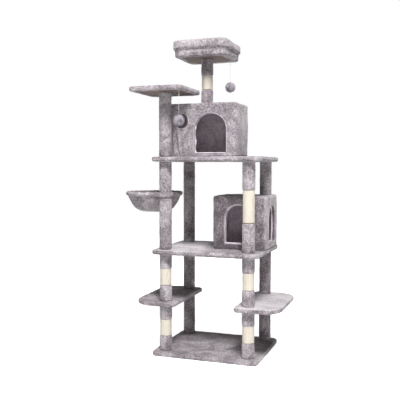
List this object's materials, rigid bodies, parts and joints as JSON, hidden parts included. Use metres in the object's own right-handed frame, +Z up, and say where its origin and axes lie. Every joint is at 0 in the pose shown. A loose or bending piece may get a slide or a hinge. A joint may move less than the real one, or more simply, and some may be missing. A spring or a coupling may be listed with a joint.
{
  "type": "cat tree",
  "caption": "Tall free-standing cat tree: plush posts with sisal bands, platforms, side shelves, condos, a hammock, a perch, a padded top bed and hanging pompoms.",
  "frame": {"origin": "centre of the base's underside, on the floor", "axes": "+X to the right, +Y to the back, +Z up, seen from the side of the condo doors"},
  "size_m": [0.9392, 0.597, 1.735],
  "materials": {
    "plush": "short brushed plush, grey with a mauve tint",
    "lining": "short plush lining, shaded",
    "sisal": "tightly wound natural sisal rope",
    "particle_board": "raw particle board and hardboard",
    "wood_plug": "turned softwood, unfinished",
    "cardboard_tube": "spirally wound kraft tube",
    "steel": "zinc plated",
    "string": "twisted soft cord",
    "pompom": "short plush over a stuffed ball"
  },
  "bodies": {
    "tree": {"base_board": "particle_board", "base_cover": "plush", "left_shelf_board": "particle_board", "left_shelf_cover": "plush", "right_shelf_board": "particle_board", "right_shelf_cover": "plush", "middle_board": "particle_board", "middle_cover": "plush", "upper_board": "particle_board", "upper_cover": "plush", "perch_board": "particle_board", "perch_cover": "plush", "front_left_post_1": "plush", "front_left_post_2": "plush", "front_left_post_3": "plush", "front_left_post_4": "plush", "front_right_post_1": "plush", "front_right_post_2": "plush", "front_right_post_3": "plush", "back_left_post_1": "plush", "back_left_post_2": "plush", "back_left_post_3": "plush", "back_right_post_1": "plush", "back_right_post_2": "plush", "back_right_post_3": "plush", "bed_post": "plush", "front_left_sisal_1": "sisal", "front_left_sisal_2": "sisal", "front_right_sisal_1": "sisal", "front_right_sisal_2": "sisal", "front_right_sisal_3": "sisal", "bed_post_sisal": "sisal", "front_tubes": "cardboard_tube", "back_tubes": "cardboard_tube", "post_plugs": "wood_plug", "joining_studs": "steel", "joining_bolts": "steel", "lower_condo_wall": "particle_board", "lower_condo_roof": "particle_board", "lower_condo_cover": "plush", "lower_condo_lining": "lining", "upper_condo_wall": "particle_board", "upper_condo_roof": "particle_board", "upper_condo_cover": "plush", "upper_condo_lining": "lining", "bed_board": "particle_board", "bed_pad": "plush", "bed_bolster": "plush", "hammock_hoop": "steel", "hammock_rim": "plush", "hammock_sling": "plush", "hammock_strap": "plush", "hammock_bolts": "steel", "toy_staples": "steel"},
    "left_loop": {"left_toy_loop": "string"},
    "left_toy": {"left_toy_string": "string", "left_pompom": "pompom"},
    "right_loop": {"right_toy_loop": "string"},
    "right_toy": {"right_toy_string": "string", "right_pompom": "pompom"}
  },
  "joints": [
    {"name": "left_toy_sway", "type": "hinge", "parent": "tree", "child": "left_loop", "pos_m": [-0.105, -0.315, 1.428], "axis": [1, 0, 0], "range_deg": [-60, 30]},
    {"name": "left_toy_swing", "type": "hinge", "parent": "left_loop", "child": "left_toy", "pos_m": [-0.105, -0.315, 1.423], "axis": [0, 1, 0], "range_deg": [-45, 30]},
    {"name": "right_toy_sway", "type": "hinge", "parent": "tree", "child": "right_loop", "pos_m": [0.045, 0.105, 1.64], "axis": [1, 0, 0], "range_deg": [-45, 45]},
    {"name": "right_toy_swing", "type": "hinge", "parent": "right_loop", "child": "right_toy", "pos_m": [0.045, 0.105, 1.635], "axis": [0, 1, 0], "range_deg": [-60, 22]}
  ]
}
